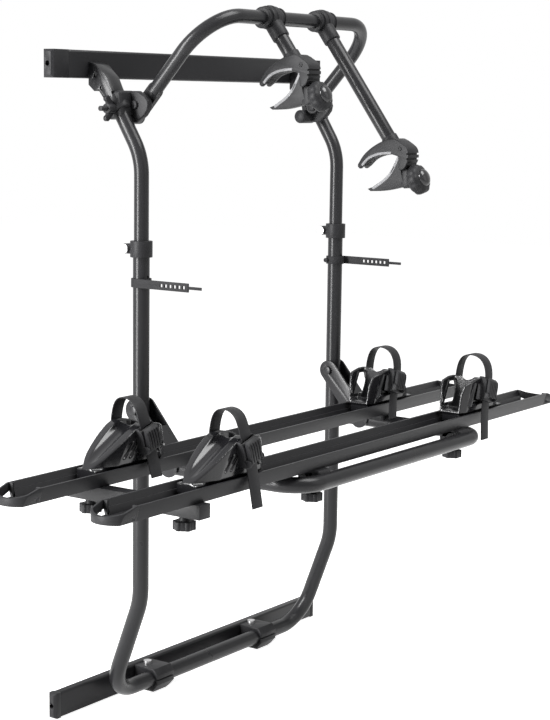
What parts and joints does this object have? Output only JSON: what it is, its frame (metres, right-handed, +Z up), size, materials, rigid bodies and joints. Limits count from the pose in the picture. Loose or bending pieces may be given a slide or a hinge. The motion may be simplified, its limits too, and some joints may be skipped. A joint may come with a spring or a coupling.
{
  "type": "bike carrier",
  "caption": "Rear door bicycle carrier: telescoping tube frame with a tilting wheel platform, sliding cradles with straps, a folding hoop and swivelling clamp arms.",
  "frame": {"origin": "middle of the rubber strip's face on the lower beam, which bears on the door", "axes": "+X along the wheel rails towards their short ends, +Y towards the door, +Z up"},
  "size_m": [1.29, 0.4548, 1.1715],
  "materials": {
    "frame_black": "satin black powder coat",
    "rail_black": "matt black anodised extrusion",
    "plastic_black": "matt moulded",
    "cradle_black": "glossy moulded",
    "rubber_black": "matt",
    "pad_grey": "soft matt grey",
    "strap_black": "ribbed strap",
    "zinc": "zinc plated"
  },
  "bodies": {
    "carrier_frame": {"lower_frame": "frame_black", "clamp_collars": "plastic_black", "retaining_straps": "rubber_black", "door_beam": "rail_black", "door_beam_caps": "plastic_black", "beam_rubber": "rubber_black", "beam_clamps": "plastic_black", "frame_screws": "zinc", "pivot_bolts": "zinc"},
    "upper_frame": {"upper_tube_left": "frame_black", "upper_tube_right": "frame_black", "top_bar": "rail_black", "top_bar_caps": "plastic_black", "hanger_brackets": "frame_black", "hoop_knuckles": "plastic_black", "hoop_pins": "plastic_black"},
    "lock_knob_left": {"lock_knob_left": "plastic_black"},
    "lock_knob_right": {"lock_knob_right": "plastic_black"},
    "hoop": {"hoop": "frame_black"},
    "liner_short": {"slide_liner_short": "plastic_black"},
    "arm_short": {"arm_clamp_short": "plastic_black", "arm_tube_short": "frame_black"},
    "claw_short": {"claw_body_short": "plastic_black", "claw_upper_pad_short": "pad_grey"},
    "jaw_short": {"claw_jaw_short": "plastic_black", "claw_lower_pad_short": "pad_grey"},
    "claw_knob_short": {"claw_knob_short": "plastic_black"},
    "liner_long": {"slide_liner_long": "plastic_black"},
    "arm_long": {"arm_clamp_long": "plastic_black", "arm_tube_long": "frame_black"},
    "claw_long": {"claw_body_long": "plastic_black", "claw_upper_pad_long": "pad_grey"},
    "jaw_long": {"claw_jaw_long": "plastic_black", "claw_lower_pad_long": "pad_grey"},
    "claw_knob_long": {"claw_knob_long": "plastic_black"},
    "platform": {"platform_tube": "frame_black", "strut_left": "frame_black", "strut_right": "frame_black", "platform_plugs": "plastic_black", "crossbar": "frame_black", "rail_inner": "rail_black", "rail_outer": "rail_black", "rail_caps": "plastic_black", "rail_fixings": "plastic_black"},
    "platform_knob_bar_inner": {"platform_knob_bar_inner": "plastic_black"},
    "platform_knob_bar_outer": {"platform_knob_bar_outer": "plastic_black"},
    "platform_knob_tube_left": {"platform_knob_tube_left": "plastic_black"},
    "platform_knob_tube_right": {"platform_knob_tube_right": "plastic_black"},
    "cradle_inner_left": {"cradle_inner_left": "cradle_black", "cradle_strap_inner_left": "strap_black"},
    "buckle_lever_inner_left": {"buckle_lever_inner_left": "plastic_black"},
    "cradle_inner_right": {"cradle_inner_right": "cradle_black", "cradle_strap_inner_right": "strap_black"},
    "buckle_lever_inner_right": {"buckle_lever_inner_right": "plastic_black"},
    "cradle_outer_left": {"cradle_outer_left": "cradle_black", "cradle_strap_outer_left": "strap_black"},
    "buckle_lever_outer_left": {"buckle_lever_outer_left": "plastic_black"},
    "cradle_outer_right": {"cradle_outer_right": "cradle_black", "cradle_strap_outer_right": "strap_black"},
    "buckle_lever_outer_right": {"buckle_lever_outer_right": "plastic_black"}
  },
  "joints": [
    {"name": "upper_frame_slide", "type": "slide", "parent": "carrier_frame", "child": "upper_frame", "axis": [0, 0, 1], "range_m": [-0.085, 0.11]},
    {"name": "lock_knob_left_spin", "type": "hinge", "parent": "upper_frame", "child": "lock_knob_left", "pos_m": [-0.281, -0.0729, 0.979], "axis": [1, 0, 0], "continuous": true},
    {"name": "lock_knob_right_spin", "type": "hinge", "parent": "upper_frame", "child": "lock_knob_right", "pos_m": [0.281, -0.0729, 0.979], "axis": [1, 0, 0], "continuous": true},
    {"name": "hoop_fold", "type": "hinge", "parent": "upper_frame", "child": "hoop", "pos_m": [0, -0.093, 0.985], "axis": [1, 0, 0], "range_deg": [0, 90]},
    {"name": "arm_short_travel", "type": "slide", "parent": "hoop", "child": "liner_short", "axis": [1, 0, 0], "range_m": [-0.05, 0.035]},
    {"name": "arm_short_swing", "type": "hinge", "parent": "liner_short", "child": "arm_short", "pos_m": [-0.08, -0.22339, 1.12729], "axis": [1, 0, 0], "range_deg": [-120, 45]},
    {"name": "claw_short_swivel", "type": "hinge", "parent": "arm_short", "child": "claw_short", "pos_m": [-0.08, -0.28278, 1.04585], "axis": [0, -0.5892, -0.808], "range_deg": [-90, 90]},
    {"name": "jaw_short_close", "type": "hinge", "parent": "claw_short", "child": "jaw_short", "pos_m": [-0.08, -0.28278, 1.04585], "axis": [1, 0, 0], "range_deg": [0, 18]},
    {"name": "claw_knob_short_spin", "type": "hinge", "parent": "claw_short", "child": "claw_knob_short", "pos_m": [-0.08, -0.30138, 0.98925], "axis": [0, -0.9397, 0.342], "range_deg": [0, 648]},
    {"name": "arm_long_travel", "type": "slide", "parent": "hoop", "child": "liner_long", "axis": [1, 0, 0], "range_m": [-0.035, 0.06]},
    {"name": "arm_long_swing", "type": "hinge", "parent": "liner_long", "child": "arm_long", "pos_m": [0.07, -0.22339, 1.12729], "axis": [1, 0, 0], "range_deg": [-120, 45]},
    {"name": "claw_long_swivel", "type": "hinge", "parent": "arm_long", "child": "claw_long", "pos_m": [0.07, -0.38023, 0.91221], "axis": [0, -0.5892, -0.808], "range_deg": [-90, 90]},
    {"name": "jaw_long_close", "type": "hinge", "parent": "claw_long", "child": "jaw_long", "pos_m": [0.07, -0.38023, 0.91221], "axis": [1, 0, 0], "range_deg": [0, 18]},
    {"name": "claw_knob_long_spin", "type": "hinge", "parent": "claw_long", "child": "claw_knob_long", "pos_m": [0.07, -0.39883, 0.85561], "axis": [0, -0.9397, 0.342], "range_deg": [0, 648]},
    {"name": "platform_fold", "type": "hinge", "parent": "carrier_frame", "child": "platform", "pos_m": [0, -0.12, 0.497], "axis": [-1, 0, 0], "range_deg": [0, 50]},
    {"name": "platform_knob_bar_inner_spin", "type": "hinge", "parent": "platform", "child": "platform_knob_bar_inner", "pos_m": [-0.526, -0.227, 0.39], "axis": [0, 0, 1], "continuous": true},
    {"name": "platform_knob_bar_outer_spin", "type": "hinge", "parent": "platform", "child": "platform_knob_bar_outer", "pos_m": [-0.526, -0.404, 0.39], "axis": [0, 0, 1], "continuous": true},
    {"name": "platform_knob_tube_left_spin", "type": "hinge", "parent": "platform", "child": "platform_knob_tube_left", "pos_m": [-0.219, -0.415, 0.39], "axis": [0, 0, 1], "continuous": true},
    {"name": "platform_knob_tube_right_spin", "type": "hinge", "parent": "platform", "child": "platform_knob_tube_right", "pos_m": [0.219, -0.415, 0.39], "axis": [0, 0, 1], "continuous": true},
    {"name": "cradle_inner_left_travel", "type": "slide", "parent": "platform", "child": "cradle_inner_left", "axis": [1, 0, 0], "range_m": [-0.11, 0.12]},
    {"name": "buckle_lever_inner_left_lift", "type": "hinge", "parent": "cradle_inner_left", "child": "buckle_lever_inner_left", "pos_m": [-0.444, -0.2704, 0.497], "axis": [-1, 0, 0], "range_deg": [0, 60]},
    {"name": "cradle_inner_right_travel", "type": "slide", "parent": "platform", "child": "cradle_inner_right", "axis": [1, 0, 0], "range_m": [-0.15, 0.15]},
    {"name": "buckle_lever_inner_right_lift", "type": "hinge", "parent": "cradle_inner_right", "child": "buckle_lever_inner_right", "pos_m": [0.267, -0.2704, 0.497], "axis": [-1, 0, 0], "range_deg": [0, 60]},
    {"name": "cradle_outer_left_travel", "type": "slide", "parent": "platform", "child": "cradle_outer_left", "axis": [1, 0, 0], "range_m": [-0.12, 0.15]},
    {"name": "buckle_lever_outer_left_lift", "type": "hinge", "parent": "cradle_outer_left", "child": "buckle_lever_outer_left", "pos_m": [-0.429, -0.4474, 0.497], "axis": [-1, 0, 0], "range_deg": [0, 60]},
    {"name": "cradle_outer_right_travel", "type": "slide", "parent": "platform", "child": "cradle_outer_right", "axis": [1, 0, 0], "range_m": [-0.06, 0.13]},
    {"name": "buckle_lever_outer_right_lift", "type": "hinge", "parent": "cradle_outer_right", "child": "buckle_lever_outer_right", "pos_m": [0.29, -0.4474, 0.497], "axis": [-1, 0, 0], "range_deg": [0, 60]}
  ],
  "couplings": [
    {"joint": "claw_knob_short_spin", "follows": "jaw_short_close", "ratio": 36},
    {"joint": "claw_knob_long_spin", "follows": "jaw_long_close", "ratio": 36}
  ]
}
